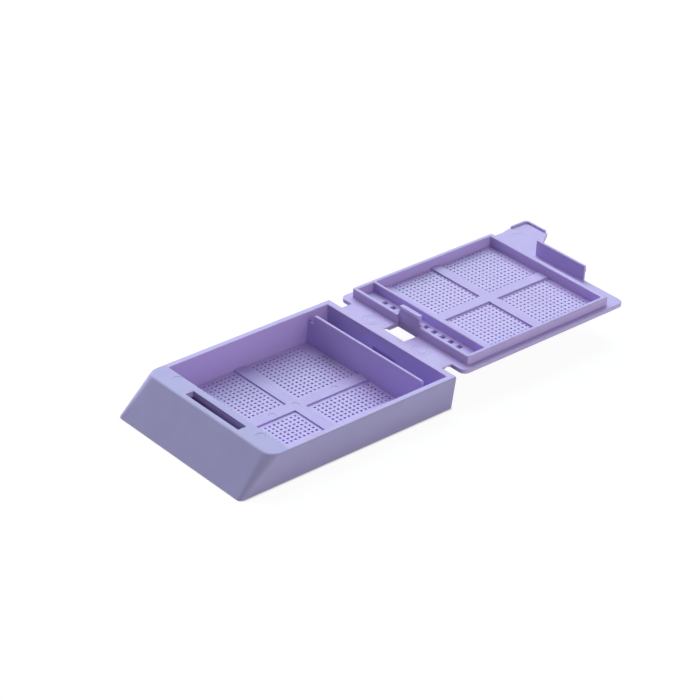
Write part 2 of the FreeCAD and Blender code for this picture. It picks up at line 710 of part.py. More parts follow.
def cut_lid_floor(body):
    """Recesses and perforates the lid's four panes and cuts the row of channel holes."""
    near_x = (LID_NEAR_PANE, LID_BAR)
    far_x = (LID_FAR_PANE, FAR_RIB_FACE)
    right_y = (f"(-{RIB_INNER_SIDE})", "(-Spec.lid_long_bar / 2)")
    left_y = ("(Spec.lid_long_bar / 2)", RIB_INNER_SIDE)
    panes = {
        "NearRight": near_x + right_y,
        "NearLeft": near_x + left_y,
        "FarRight": far_x + right_y,
        "FarLeft": far_x + left_y,
    }
    above = new_sketch(body, "LidPanesAbove", height="Spec.tray_height")
    below = new_sketch(body, "LidPanesBelow", height=LID_BOTTOM)
    for pane in panes.values():
        add_rectangle(above, *pane)
        add_rectangle(below, *pane)
    pocket(body, "LidPaneRecess", above, f"Spec.tray_height - {LID_PANE_TOP}")
    pocket(body, "LidPaneUnderside", below, "Spec.pane_lift", upwards=True)

    channel_x = f"(({RIB_REAR} + Spec.rib_thick + {INNER_RIB}) / 2 + Spec.channel_offset)"
    channel_start = (channel_x, "(-(Spec.channel_count - 1) * Spec.channel_pitch / 2)")
    channel_counts = ("1", "Spec.channel_count")
    grid(
        body,
        "Channel",
        "Spec.tray_height",
        "Spec.lid_thick",
        "Spec.channel_hole",
        channel_start,
        channel_counts,
        "Spec.channel_pitch",
    )
    for name, pane in panes.items():
        perforate(body, name, pane, LID_PANE_TOP, f"{LID_PANE_TOP} - {LID_BOTTOM}", "Spec.lid_row_margin")


def add_hook(body):
    """Opens the window in front of the latch and pads the hook with its lip."""
    window = new_sketch(body, "WindowOutline", height="Spec.tray_height + Spec.rib_height")
    add_rectangle(window, WINDOW_START, HOOK_FACE, WINDOW_LOW, WINDOW_HIGH)
    pocket(body, "LatchWindow", window, "Spec.rib_height + Spec.lid_thick")

    section = new_sketch(body, "HookSection", plane="XZ_Plane", height="-Spec.latch_side")
    back = f"({HOOK_FACE} + Spec.hook_thick)"
    lip_face = f"({HOOK_FACE} - Spec.lip_reach)"
    lip_bottom = f"({HOOK_TOP} - Spec.lip_height)"
    add_polygon(
        section,
        (
            (HOOK_FACE, LID_BOTTOM),
            (back, LID_BOTTOM),
            (back, HOOK_TOP),
            (f"{lip_face} + Spec.lip_lead", HOOK_TOP),
            (lip_face, f"{HOOK_TOP} - Spec.lip_lead_height"),
            (lip_face, f"{lip_bottom} + Spec.lip_undercut"),
            (HOOK_FACE, lip_bottom),
        ),
    )
    pad(body, "Hook", section, "Spec.hook_width", centred=True)


def check_document():
    """Stops where any object of the document has failed."""
    for item in document.Objects:
        if "Invalid" in item.State or "Error" in item.State:
            raise RuntimeError(f"{item.Label} failed: {item.State}")


def export(bodies):
    """Writes each body's shape to parts/ under its label."""
    os.makedirs("parts", exist_ok=True)
    for body in bodies:
        shape = body.Shape
        if shape.isNull() or not shape.isValid() or len(shape.Solids) != 1:
            raise RuntimeError(f"{body.Label} is not one valid solid")
        shape.exportStep(f"parts/{body.Label}.step")
        print(f"{body.Label}: {shape.Volume:.2f} mm3, {len(shape.Faces)} faces")


pieces = [build_tray(), build_film(), build_lid()]
document.recompute()
check_document()
export(pieces)
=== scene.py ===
"""Tissue cassette: a moulded tray with its writing face, a folding strip and a perforated lid.

All lengths are in metres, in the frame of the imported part.  X runs from the slanted writing face to the
hinge and on to the opened lid, Y runs across the tray and Z is up.  The origin lies on the underside,
where the two bars of the tray's floor cross.
"""

import sys
import logging
import math
from collections.abc import Callable
from dataclasses import dataclass, field
from enum import Enum

import bmesh
import bpy
from mathutils import Matrix, Vector


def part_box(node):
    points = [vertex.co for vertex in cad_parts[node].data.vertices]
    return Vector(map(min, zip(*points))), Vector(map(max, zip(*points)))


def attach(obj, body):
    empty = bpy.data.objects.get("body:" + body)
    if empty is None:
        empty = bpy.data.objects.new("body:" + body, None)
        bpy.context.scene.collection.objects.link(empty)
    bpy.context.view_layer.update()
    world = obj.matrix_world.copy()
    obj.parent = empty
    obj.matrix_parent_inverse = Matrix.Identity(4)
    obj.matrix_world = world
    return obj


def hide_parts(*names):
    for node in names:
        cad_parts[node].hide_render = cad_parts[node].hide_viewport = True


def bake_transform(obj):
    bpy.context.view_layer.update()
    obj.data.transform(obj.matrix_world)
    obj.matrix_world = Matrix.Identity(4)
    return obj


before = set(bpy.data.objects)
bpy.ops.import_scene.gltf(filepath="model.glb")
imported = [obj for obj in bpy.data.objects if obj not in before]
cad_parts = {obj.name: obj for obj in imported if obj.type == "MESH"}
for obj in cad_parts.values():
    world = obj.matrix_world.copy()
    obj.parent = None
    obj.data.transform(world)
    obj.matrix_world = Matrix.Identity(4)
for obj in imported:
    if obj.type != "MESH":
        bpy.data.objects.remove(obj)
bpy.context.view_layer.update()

log = logging.getLogger("cassette")

MM = 0.001
TOUCH = 0.002 * MM  # places nearer than this are one place
HAIR = 1e-7  # how closely a cut meets the corners that are there
FLAT = math.radians(0.4)  # facets that turn by less than this are one face
CREASE = math.radians(32)  # edges that turn by more than this stay sharp
LEVEL = 0.9  # upward part of its normal from which a face counts as level
X, Y, Z = range(3)

Piece = bpy.types.Object
Face = bmesh.types.BMFace
Edge = bmesh.types.BMEdge
Part = Face | Edge
Socket = bpy.types.NodeSocket
Box = tuple[Vector, Vector]


class Element(Enum):
    """Which parts of a mesh a tool works on."""

    FACE = "FACE"
    EDGE = "EDGE"


class Body(Enum):
    """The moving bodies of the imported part."""

    TRAY = "tray"
    LID = "lid"


# ---- Tools of the bench ----


def put_down_all() -> None:
    """Leave edit mode if need be and deselect every object."""
    if bpy.context.object and bpy.context.object.mode != "OBJECT":
        bpy.ops.object.mode_set(mode="OBJECT")
    bpy.ops.object.select_all(action="DESELECT")


def pick_up(thing: Piece) -> None:
    """Make one object the only selected and active one.

    Args:
        thing: The object.
    """
    put_down_all()
    thing.select_set(True)
    bpy.context.view_layer.objects.active = thing


def open_mesh(thing: Piece) -> None:
    """Enter edit mode on an object with faces to pick and nothing selected.

    Args:
        thing: The mesh object to work on.
    """
    pick_up(thing)
    bpy.ops.object.mode_set(mode="EDIT")
    bpy.ops.mesh.select_mode(type="FACE")
    bpy.ops.mesh.select_all(action="DESELECT")


def close_mesh() -> None:
    """Go back to object mode."""
    bpy.ops.object.mode_set(mode="OBJECT")


def pick(element: Element, wanted: Callable[[Part], bool]) -> int:
    """Select those faces or edges of the open mesh that pass a test, and nothing else.

    Args:
        element: Whether faces or edges are gone through.
        wanted: Says whether one of them is wanted.

    Returns:
        How many are selected.
    """
    bpy.ops.mesh.select_mode(type=element.value)
    bpy.ops.mesh.select_all(action="DESELECT")
    mesh = bpy.context.object.data
    shape = bmesh.from_edit_mesh(mesh)
    shape.normal_update()
    parts = shape.faces if element is Element.FACE else shape.edges
    chosen = [part for part in parts if wanted(part)]
    for part in chosen:
        part.select_set(True)
    bmesh.update_edit_mesh(mesh)
    return len(chosen)


def lies_at(part: Part, axis: int, place: float) -> bool:
    """Whether a whole face or edge lies at one place along an axis."""
    return all(abs(vert.co[axis] - place) < TOUCH for vert in part.verts)


def lies_in(part: Part, low: Vector, high: Vector) -> bool:
    """Whether a whole face or edge lies in a box."""
    return all(low[i] - TOUCH <= vert.co[i] <= high[i] + TOUCH for vert in part.verts for i in (X, Y, Z))


def slice_at(axis: int, place: float) -> None:
    """Cut what is selected across an axis and keep both sides.

    Args:
        axis: The axis.
        place: Where along it the cut goes.
    """
    point, normal = Vector(), Vector()
    point[axis], normal[axis] = place, 1.0
    bpy.ops.mesh.bisect(plane_co=point, plane_no=normal, threshold=HAIR)


def modify(thing: Piece, kind: str, **settings: object) -> None:
    """Change an object's mesh with a modifier and bake it in.

    Args:
        thing: The mesh object.
        kind: The modifier's type.
        settings: What each of its settings is set to.
    """
    modifier = thing.modifiers.new(kind.lower(), kind)
    for name, value in settings.items():
        setattr(modifier, name, value)
    pick_up(thing)
    bpy.ops.object.modifier_apply(modifier=modifier.name)


def subtract(thing: Piece, tool: Piece) -> None:
    """Take one closed object out of another and remove it."""
    modify(thing, "BOOLEAN", object=tool, operation="DIFFERENCE", solver="EXACT")
    bpy.data.objects.remove(tool)


def smooth_off(thing: Piece) -> None:
    """Shade an object smooth except over sharp edges, with flat faces kept flat.

    Args:
        thing: The finished mesh object.
    """
    pick_up(thing)
    bpy.ops.object.shade_smooth_by_angle(angle=CREASE)
    modify(thing, "WEIGHTED_NORMAL", keep_sharp=True, weight=100)


def lay_out(name: str, data: bpy.types.ID) -> Piece:
    """Put new data into the scene as an object at the origin.

    Args:
        name: Name of the object.
        data: Its mesh, lamp or camera.

    Returns:
        The object.
    """
    thing = bpy.data.objects.new(name, data)
    bpy.context.scene.collection.objects.link(thing)
    return thing


def copy_of_node(node: str, name: str) -> Piece:
    """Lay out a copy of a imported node's mesh, with its loose triangles merged.

    Args:
        node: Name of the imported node.
        name: Name of the new object.

    Returns:
        The new object, at the origin.
    """
    piece = lay_out(name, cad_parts[node].data.copy())
    piece.data.name = name
    piece.data.materials.clear()
    pick_up(piece)
    bpy.ops.mesh.customdata_custom_splitnormals_clear()
    open_mesh(piece)
    bpy.ops.mesh.select_all(action="SELECT")
    bpy.ops.mesh.remove_doubles(threshold=TOUCH / 4)
    bpy.ops.mesh.faces_shade_flat()
    close_mesh()
    return piece


def feed(node: bpy.types.Node, inputs: dict[str | int, object]) -> None:
    """Fill the inputs of a shader node.

    Args:
        node: The node.
        inputs: A value, or another node's output, for each input by its name or number.
    """
    for place, given in inputs.items():
        if isinstance(given, Socket):
            node.id_data.links.new(given, node.inputs[place])
        else:
            node.inputs[place].default_value = given


def add_node(tree: bpy.types.NodeTree, kind: str, inputs: dict[str | int, object]) -> bpy.types.Node:
    """Add a shader node.

    Args:
        tree: The nodes of a material or of the surroundings.
        kind: The node's type, without its first words.
        inputs: What feeds it.

    Returns:
        The node.
    """
    node = tree.nodes.new(f"ShaderNode{kind}")
    feed(node, inputs)
    return node


# ---- Finishes ----


@dataclass(frozen=True)
class MouldedFinish:
    """Coloured acetal as it comes out of the mould.

    Attributes:
        name: Name of the material.
        pale: Linear colour of the paler streaks.
        deep: Linear colour of the deeper streaks.
        gloss_low: Roughness of the smoothest spots.
        gloss_high: Roughness of the dullest spots.
        grain_size: Size of the mould's spark-eroded grain.
        grain_height: Height of that grain.
        streaks: Streaks of colour per metre.
        spots: Dull and smooth spots per metre.
        spread: Lowest and highest value that the clouds are drawn out from.
        index: Refractive index of acetal.
    """

    name: str
    pale: tuple[float, float, float]
    deep: tuple[float, float, float]
    gloss_low: float = 0.38
    gloss_high: float = 0.48
    grain_size: float = 0.16 * MM
    grain_height: float = 0.003 * MM
    streaks: float = 140.0
    spots: float = 420.0
    spread: tuple[float, float] = (0.3, 0.7)
    index: float = 1.48

    def material(self) -> bpy.types.Material:
        """Build the node material.

        Returns:
            The material, made once and shared by all pieces with this finish.
        """
        known = bpy.data.materials.get(self.name)
        if known:
            return known
        paint = bpy.data.materials.new(self.name)
        paint.use_nodes = True
        tree = paint.node_tree
        tint = add_node(tree, "ValToRGB", {"Fac": self._clouds(tree, self.streaks, 4.0, swirl=1.2)})
        for stop, place, colour in zip(tint.color_ramp.elements, self.spread, (self.deep, self.pale)):
            stop.position = place
            stop.color = (*colour, 1.0)
        gloss = add_node(tree, "MapRange", {"Value": self._clouds(tree, self.spots, 3.0)})
        limits = (*self.spread, self.gloss_low, self.gloss_high)
        feed(gloss, dict(zip(("From Min", "From Max", "To Min", "To Max"), limits)))
        grain = self._clouds(tree, 1.0 / self.grain_size, 2.0)
        relief = add_node(tree, "Bump", {"Strength": 1.0, "Distance": self.grain_height, "Height": grain})
        dressing = {
            "Base Color": tint.outputs["Color"],
            "Roughness": gloss.outputs["Result"],
            "Normal": relief.outputs["Normal"],
            "IOR": self.index,
        }
        feed(tree.nodes["Principled BSDF"], dressing)
        return paint

    def _clouds(self, tree: bpy.types.NodeTree, scale: float, detail: float, swirl: float = 0.0) -> Socket:
        """Lay soft irregular clouds over the object.

        Args:
            tree: The material's nodes.
            scale: Clouds per metre.
            detail: How many finer layers of clouds lie over them.
            swirl: How far they are drawn out of shape.

        Returns:
            The socket that gives their value.
        """
        place = add_node(tree, "TexCoord", {}).outputs["Object"]
        inputs = {"Vector": place, "Scale": scale, "Detail": detail, "Distortion": swirl}
        return add_node(tree, "TexNoise", inputs).outputs["Fac"]


# The thin panes are painted paler than the thick walls: a painted glow that stands in for the light passing
# through them.
SATIN = MouldedFinish("satin_acetal", pale=(0.495, 0.405, 0.79), deep=(0.475, 0.388, 0.765))
THIN_PAINTED_GLOW = MouldedFinish("thin_acetal_painted_glow", pale=(0.56, 0.46, 0.855), deep=(0.535, 0.44, 0.825))
ETCHED = MouldedFinish(
    "etched_acetal",
    pale=(0.39, 0.37, 0.675),
    deep=(0.37, 0.35, 0.645),
    gloss_low=0.62,
    gloss_high=0.76,
    grain_size=0.11 * MM,
    grain_height=0.012 * MM,
)
LEDGE = MouldedFinish(
    "ledge_acetal",
    pale=(0.435, 0.42, 0.745),
    deep=(0.415, 0.40, 0.715),
    gloss_low=0.58,
    gloss_high=0.70,
    grain_size=0.11 * MM,
    grain_height=0.008 * MM,
)


# ---- Perforated panes ----


@dataclass
class PaneHoles:
    """The square holes of a pane.

    Attributes:
        pitch: Centre to centre.
        side: Side of a hole at the top face.
        ease: Chamfer round the top of each hole.
        taper: How much narrower each hole is below than above, as a share of its side.
    """

    pitch: float = 0.80 * MM
    side: float = 0.31 * MM
    ease: float = 0.05 * MM
    taper: float = 0.12


@dataclass
class MeshPane:
    """One perforated pane of a floor.

    Attributes:
        name: Name of the piece.
        body: The body it moves with.
        low: Low corner of the opening that it fills, at its bottom face.
        high: High corner of that opening, at its top face.
        first: X and Y of the centre of the first hole.
        columns: Number of holes along X.
        rows: Number of holes along Y.
        blank: Holes left out, as a range of columns and a range of rows.
        holes: Their sizes.
        seat: How far the pane reaches into the bars and walls around it.
        piece: The modelled object.
    """

    name: str
    body: Body
    low: Vector
    high: Vector
    first: tuple[float, float]
    columns: int
    rows: int
    blank: tuple[range, range] = (range(0), range(0))
    holes: PaneHoles = field(default_factory=PaneHoles)
    seat: float = 0.12 * MM
    piece: Piece | None = field(default=None, init=False)

    def build(self) -> None:
        """Model one cell, repeat it, close the rim and dress the pane."""
        self._cell()
        self._repeat()
        open_mesh(self.piece)
        self._fill_blank()
        self._widen()
        self._close_rim()
        close_mesh()
        smooth_off(self.piece)
        # The pane's paler finish is painted glow: colour that stands in for the light passing through the
        # thin pane.
        self.piece.data.materials.append(THIN_PAINTED_GLOW.material())
        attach(self.piece, self.body.value)
        faces = len(self.piece.data.polygons)
        log.info("%s: %d by %d holes, %d faces", self.name, self.columns, self.rows, faces)

    def _cell(self) -> None:
        """Model the first cell with its hole: land above, eased edge, tapered walls, land below."""
        centre = Vector((self.first[0], self.first[1], self.high.z))
        land = (self.holes.pitch - self.holes.side) / 2
        floor_side = self.holes.side * (1 - self.holes.taper)
        put_down_all()
        bpy.ops.mesh.primitive_plane_add(size=self.holes.pitch, location=centre)
        self.piece = bpy.context.object
        self.piece.name = self.piece.data.name = self.name
        bpy.ops.object.transform_apply(location=True)
        bpy.ops.object.mode_set(mode="EDIT")
        bpy.ops.mesh.select_mode(type="FACE")
        bpy.ops.mesh.select_all(action="SELECT")
        bpy.ops.mesh.inset(thickness=land - self.holes.ease, depth=0.0)
        bpy.ops.mesh.inset(thickness=self.holes.ease, depth=-self.holes.ease)
        drop = self.high.z - self.low.z - self.holes.ease
        bpy.ops.mesh.extrude_region_move(TRANSFORM_OT_translate={"value": (0, 0, -drop)})
        narrow = floor_side / self.holes.side
        bpy.ops.transform.resize(value=(narrow, narrow, 1), center_override=centre)
        bpy.ops.mesh.delete(type="ONLY_FACE")
        pick(Element.EDGE, lambda edge: lies_at(edge, Z, self.low.z))
        bpy.ops.mesh.extrude_edges_move()
        widen = self.holes.pitch / floor_side
        bpy.ops.transform.resize(value=(widen, widen, 1), center_override=centre)
        close_mesh()

    def _repeat(self) -> None:
        """Repeat the cell along X and Y and merge the copies."""
        steps = ((self.columns, (self.holes.pitch, 0, 0)), (self.rows, (0, self.holes.pitch, 0)))
        for count, step in steps:
            modify(
                self.piece,
                "ARRAY",
                count=count,
                use_relative_offset=False,
                use_constant_offset=True,
                constant_offset_displace=step,
                use_merge_vertices=True,
                merge_threshold=5 * TOUCH,
            )

    def _fill_blank(self) -> None:
        """Close the holes that the mould leaves out."""
        reach = self.holes.side / 2 + self.holes.ease + TOUCH

        def in_blank_hole(face: Face) -> bool:
            """Say whether a face is a wall of a hole that is left out.

            Args:
                face: One of the pane's faces.

            Returns:
                Whether it is.
            """
            middle = face.calc_center_median()
            steps = [(middle[axis] - self.first[axis]) / self.holes.pitch for axis in (X, Y)]
            near = all(abs(step - round(step)) * self.holes.pitch < reach for step in steps)
            return near and all(round(step) in gap for step, gap in zip(steps, self.blank))

        if pick(Element.FACE, in_blank_hole):
            bpy.ops.mesh.delete(type="FACE")
            bpy.ops.mesh.select_mode(type="EDGE")
            bpy.ops.mesh.select_all(action="SELECT")
            bpy.ops.mesh.fill_holes(sides=4)

    def _widen(self) -> None:
        """Draw the pane's edges out into the bars and walls."""
        for axis in (X, Y):
            shape = bmesh.from_edit_mesh(self.piece.data)
            ends = [vert.co[axis] for vert in shape.verts]
            targets = {min(ends): self.low[axis] - self.seat, max(ends): self.high[axis] + self.seat}
            for end, target in targets.items():
                pick(Element.EDGE, lambda edge: edge.is_boundary and lies_at(edge, axis, end))
                move = [0.0, 0.0, 0.0]
                move[axis] = target - end
                bpy.ops.mesh.extrude_edges_move(TRANSFORM_OT_translate={"value": move})

    def _close_rim(self) -> None:
        """Drop the outline of the top face to the bottom face and merge them."""
        pick(Element.EDGE, lambda edge: edge.is_boundary and lies_at(edge, Z, self.high.z))
        bpy.ops.mesh.extrude_edges_move(TRANSFORM_OT_translate={"value": (0, 0, self.low.z - self.high.z)})
        bpy.ops.mesh.select_all(action="SELECT")
        bpy.ops.mesh.remove_doubles(threshold=TOUCH)
        bpy.ops.mesh.normals_make_consistent(inside=False)


# ---- Moulded shells ----


@dataclass(frozen=True)
class PinMark:
    """The round witness mark of an ejector pin.

    Attributes:
        x: Place along X.
        y: Place across.
        z: Height of the face that it is in.
        radius: Its size.
        depth: How far it is sunk.
    """

    x: float
    y: float
    z: float
    radius: float = 0.75 * MM
    depth: float = 0.045 * MM

    def holds(self, low: Vector, high: Vector) -> bool:
        """Say whether the box that an edge spans lies in the mark.

        Args:
            low: Its low corner.
            high: Its high corner.

        Returns:
            Whether it does.
        """
        reach = self.radius + 4 * self.depth
        across = max(abs(low.x - self.x), abs(high.x - self.x), abs(low.y - self.y), abs(high.y - self.y))
        return across < reach and abs(high.z - self.z) < 2 * self.depth

    def cutter(self) -> Piece:
        """Model what is taken away.

        Returns:
            A closed object that reaches through the face.
        """
        put_down_all()
        bpy.ops.mesh.primitive_cone_add(
            vertices=40,
            radius1=self.radius - self.depth,
            radius2=self.radius + self.depth,
            depth=2 * self.depth,
            location=(self.x, self.y, self.z),
        )
        return bpy.context.object


@dataclass(frozen=True)
class RingMark(PinMark):
    """The ring that a hollow ejector pin leaves.

    Attributes:
        groove: Radius of the ring's rounded groove.
    """

    radius: float = 1.2 * MM
    groove: float = 0.16 * MM

    def cutter(self) -> Piece:
        """Model the ring that is taken away.

        Returns:
            A closed object that reaches through the face.
        """
        put_down_all()
        bpy.ops.mesh.primitive_torus_add(
            location=(self.x, self.y, self.z + self.groove - self.depth),
            major_segments=48,
            minor_segments=12,
            major_radius=self.radius,
            minor_radius=self.groove,
        )
        return bpy.context.object


@dataclass
class Shell:
    """A moulded shell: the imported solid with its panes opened, its edges eased and its pin marks sunk.

    Attributes:
        name: Name of the piece.
        node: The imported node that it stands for.
        body: The body it moves with.
        pane_bottom: Height of the panes' bottom faces.
        pane_top: Height of the panes' top faces.
        strip_half: Half the width of the folding strip.
        strip_land: How far inside the strip's sides the rounding beside it has died out.
        coplanar: Triangles that turn by less than this are joined into four-sided faces.
        sharp: Edges that turn by more than this are eased.
        rounds: Number of facets over an eased edge.
        marks: The ejector pins' marks.
        piece: The modelled object.
    """

    name: str
    node: str
    body: Body
    pane_bottom: float
    pane_top: float
    strip_half: float = 11.12 * MM
    strip_land: float = 0.03 * MM
    coplanar: float = math.radians(14)
    sharp: float = math.radians(28)
    rounds: int = 3
    marks: tuple[PinMark, ...] = ()
    piece: Piece | None = field(default=None, init=False)

    def build(self) -> list[Box]:
        """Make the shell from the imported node.

        Returns:
            The low and high corner of each pane's opening, front to rear and right to left.
        """
        self.piece = copy_of_node(self.node, self.name)
        openings = self._find_openings()
        for low, high in openings:
            self._open_pane(low, high)
        self._clean()
        self.mend()
        for mark in self.marks:
            subtract(self.piece, mark.cutter())
        self._part_at_strip()
        self._ease_edges()
        smooth_off(self.piece)
        self.dress()
        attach(self.piece, self.body.value)
        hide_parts(self.node)
        log.info("%s: %d openings, %d faces", self.name, len(openings), len(self.piece.data.polygons))
        return openings

    def _find_openings(self) -> list[Box]:
        """Find where the perforated panes lie.

        Returns:
            The low and high corner of each pane, front to rear and right to left.
        """
        open_mesh(self.piece)
        pick(Element.FACE, lambda face: face.normal.z > LEVEL and lies_at(face, Z, self.pane_top))
        shape = bmesh.from_edit_mesh(self.piece.data)
        left = {face for face in shape.faces if face.select}
        openings = []
        while left:
            front = [left.pop()]
            points = []
            while front:
                face = front.pop()
                points += [vert.co for vert in face.verts]
                near = {other for edge in face.edges for other in edge.link_faces} & left
                left -= near
                front += near
            low = Vector((min(p.x for p in points), min(p.y for p in points), self.pane_bottom))
            high = Vector((max(p.x for p in points), max(p.y for p in points), self.pane_top))
            openings.append((low, high))
        close_mesh()
        openings.sort(key=lambda box: (round(box[0].x, 4), box[0].y))
        return openings

    def _open_pane(self, low: Vector, high: Vector) -> None:
        """Take one pane out of the shell and close the opening's sides.

        Args:
            low: Low corner of the pane.
            high: High corner of the pane.
        """
        open_mesh(self.piece)
        pick(Element.FACE, lambda face: lies_in(face, low, high))
        bpy.ops.mesh.delete(type="FACE")
        pick(Element.EDGE, lambda edge: edge.is_boundary and lies_in(edge, low, high))
        bpy.ops.mesh.bridge_edge_loops()
        close_mesh()

    def _clean(self) -> None:
        """Join the flat facets into whole faces."""
        open_mesh(self.piece)
        bpy.ops.mesh.select_all(action="SELECT")
        bpy.ops.mesh.dissolve_limited(angle_limit=FLAT, use_dissolve_boundaries=False)
        bpy.ops.mesh.tris_convert_to_quads(face_threshold=self.coplanar, shape_threshold=math.pi)
        close_mesh()

    def _part_at_strip(self) -> None:
        """Part the edge along the hinge where the folding strip begins and ends."""
        low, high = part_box("hinge_film")

        def beside_strip(face: Face) -> bool:
            """Whether a face reaches the folding strip's length and height."""
            points = [vert.co for vert in face.verts]
            return any(low.x - TOUCH <= point.x <= high.x + TOUCH and point.z > low.z for point in points)

        for across in (self.strip_half, self.strip_half - self.strip_land):
            for side in (-1, 1):
                open_mesh(self.piece)
                pick(Element.FACE, beside_strip)
                slice_at(Y, side * across)
                close_mesh()

    def mend(self) -> None:
        """Put right what easing the edges would spoil; a shell with nothing to mend leaves it out."""

    def edge_width(self, low: Vector, high: Vector) -> float:
        """Width by which an edge is eased, from the box that it spans; 0 leaves it sharp."""
        raise NotImplementedError

    def _ease_edges(self) -> None:
        """Round the convex edges, each by its own width."""
        strip_low, strip_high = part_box("hinge_film")
        shape = bmesh.new()
        shape.from_mesh(self.piece.data)
        shape.normal_update()
        weights = shape.edges.layers.float.new("bevel_weight_edge")
        chosen = {}
        for edge in shape.edges:
            if len(edge.link_faces) != 2 or not edge.is_convex or edge.calc_face_angle(0.0) < self.sharp:
                continue
            ends = [vert.co for vert in edge.verts]
            low, high = (Vector(choose(pair) for pair in zip(*ends)) for choose in (min, max))
            at_strip = (
                low.x > strip_low.x - TOUCH
                and high.x < strip_high.x + TOUCH
                and high.x - low.x < TOUCH
                and low.z > strip_high.z - TOUCH
                and max(abs(low.y), abs(high.y)) < self.strip_half + TOUCH
            )
            if at_strip or any(mark.holds(low, high) for mark in self.marks):
                continue
            width = self.edge_width(low, high)
            if width:
                chosen[edge] = width
        widest = max(chosen.values())
        for edge, width in chosen.items():
            edge[weights] = width / widest
        shape.to_mesh(self.piece.data)
        shape.free()
        modify(
            self.piece,
            "BEVEL",
            limit_method="WEIGHT",
            width=widest,
            segments=self.rounds,
            use_clamp_overlap=False,
            loop_slide=False,
            miter_outer="MITER_SHARP",
        )

    def dress(self) -> None:
        """Give the shell its finish."""
        self.piece.data.materials.append(SATIN.material())


@dataclass
class TrayShell(Shell):
    """The tray's walls, writing face, partition and floor bars.

    Attributes:
        rim_ease: Rounding of the rim's outer edges.
        mouth_ease: Rounding of the edges round the chamber and the rear compartment.
        foot_ease: Rounding of the underside's outline.
        bar_ease: Rounding of the floor bars and of the slot.
        fine_ease: Rounding of everything smaller.
        outer_skin: How far in from the outline the outer walls' faces lie.
        bar_top: Height of the floor's bars.
        rim_band: Width of the rim's outer half along the walls.
        face_run: Length along X that the slanted face takes.
        front_band: Width of the rim's outer half along the slanted face.
        front_corner: How far the front corners reach across from the tray's side.
        front_reach: How far they reach along X from the foot of the slanted face.
        rear_reach: How far the rear corners reach both ways.
        etched_run: Length along X of the etched part of the rim, from the foot of the slanted face.
        side_wall: Thickness of the side walls.
        ledge_run: Length along X from the foot of the slanted face to the chamber.
        ledge_slack: How far off that place an edge may lie and still count as in front of or behind it.
        foot_band: Width of the underside's outer band in front and at the rear.
        floor_half: Half the width of the floor, short of its rounded corners.
        steep: Forward part of its normal from which a face looks to the front.
        slope: Upward part of the slanted face's normal, at least.
        overhang: Upward part of an outer wall's normal, at least.
        aslant: Part of its normal both along X and across from which a face rounds a corner.
        straight: Points where a corner's upright edges turn by less than this are left out.
    """

    name: str = "tray_shell"
    node: str = "tray"
    body: Body = Body.TRAY
    pane_bottom: float = 0.10 * MM
    pane_top: float = 0.40 * MM
    rim_ease: float = 0.26 * MM
    mouth_ease: float = 0.12 * MM
    foot_ease: float = 0.18 * MM
    bar_ease: float = 0.05 * MM
    fine_ease: float = 0.03 * MM
    outer_skin: float = 0.6 * MM
    bar_top: float = 0.65 * MM
    rim_band: float = 0.95 * MM
    face_run: float = 5.29 * MM
    front_band: float = 0.70 * MM
    front_corner: float = 2.3 * MM
    front_reach: float = 7.6 * MM
    rear_reach: float = 0.9 * MM
    etched_run: float = 8.6 * MM
    side_wall: float = 1.3 * MM
    ledge_run: float = 8.9 * MM
    ledge_slack: float = 0.3 * MM
    foot_band: float = 1.0 * MM
    floor_half: float = 12.8 * MM
    steep: float = 0.3
    slope: float = 0.4
    overhang: float = -0.1
    aslant: float = 0.01
    straight: float = math.radians(1)

    def mend(self) -> None:
        """Draw the rounded outer corners anew, from rim to foot, and part the rim where its etching ends."""
        tray_low, tray_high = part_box(self.node)
        for side in (-1, 1):
            for end, outer, reach in ((-1, tray_low.x, self.front_reach), (1, tray_high.x, self.rear_reach)):
                across = tray_high.y - min(reach, self.front_corner)
                self._redraw_corner(end, side, Vector((outer - end * reach, across, 0.0)))
        open_mesh(self.piece)
        pick(Element.FACE, lambda face: face.normal.z > LEVEL and lies_at(face, Z, tray_high.z))
        slice_at(X, tray_low.x + self.etched_run)
        close_mesh()

    def _redraw_corner(self, end: int, side: int, limit: Vector) -> None:
        """Draw one rounded outer corner anew.

        Args:
            end: -1 at the slanted face and 1 at the hinge.
            side: -1 on the right and 1 on the left.
            limit: Where the corner begins along X and across.
        """

        def rounded(face: Face) -> bool:
            """Say whether a face belongs to this corner's rounding.

            Args:
                face: One of the shell's faces.

            Returns:
                Whether it does.
            """
            middle = face.calc_center_median()
            here = end * middle.x > end * limit.x and side * middle.y > limit.y
            return here and end * face.normal.x > self.aslant and side * face.normal.y > self.aslant

        def on_outline(edge: Edge) -> bool:
            """Whether an open edge lies on the rim's or the foot's outline."""
            return edge.is_boundary and abs(edge.verts[0].co.z - edge.verts[1].co.z) < TOUCH

        def middle_of(edge: Edge) -> Vector:
            """The middle of an edge."""
            return (edge.verts[0].co + edge.verts[1].co) / 2

        open_mesh(self.piece)
        pick(Element.FACE, rounded)
        bpy.ops.mesh.delete(type="FACE")
        pick(Element.EDGE, lambda edge: edge.is_boundary and not on_outline(edge))
        bpy.ops.mesh.dissolve_limited(angle_limit=self.straight)
        shape = bmesh.from_edit_mesh(self.piece.data)
        middles = [middle_of(edge) for edge in shape.edges if on_outline(edge)]
        foot = [middle for middle in middles if middle.z < self.pane_top]
        rim = [middle for middle in middles if middle.z >= self.pane_top]
        short, full = sorted((foot, rim), key=len)
        if len(full) > len(short):
            short.sort(key=lambda middle: middle.x)
            spare = len(full) - len(short)
            begin = (len(short) - spare) // 2
            split = short[begin : begin + spare]

            def to_split(edge: Edge) -> bool:
                """Whether an edge is one of those that get a point more."""
                return on_outline(edge) and any((middle_of(edge) - middle).length < HAIR for middle in split)

            pick(Element.EDGE, to_split)
            bpy.ops.mesh.subdivide(number_cuts=1)
        pick(Element.EDGE, on_outline)
        bpy.ops.mesh.bridge_edge_loops()
        close_mesh()

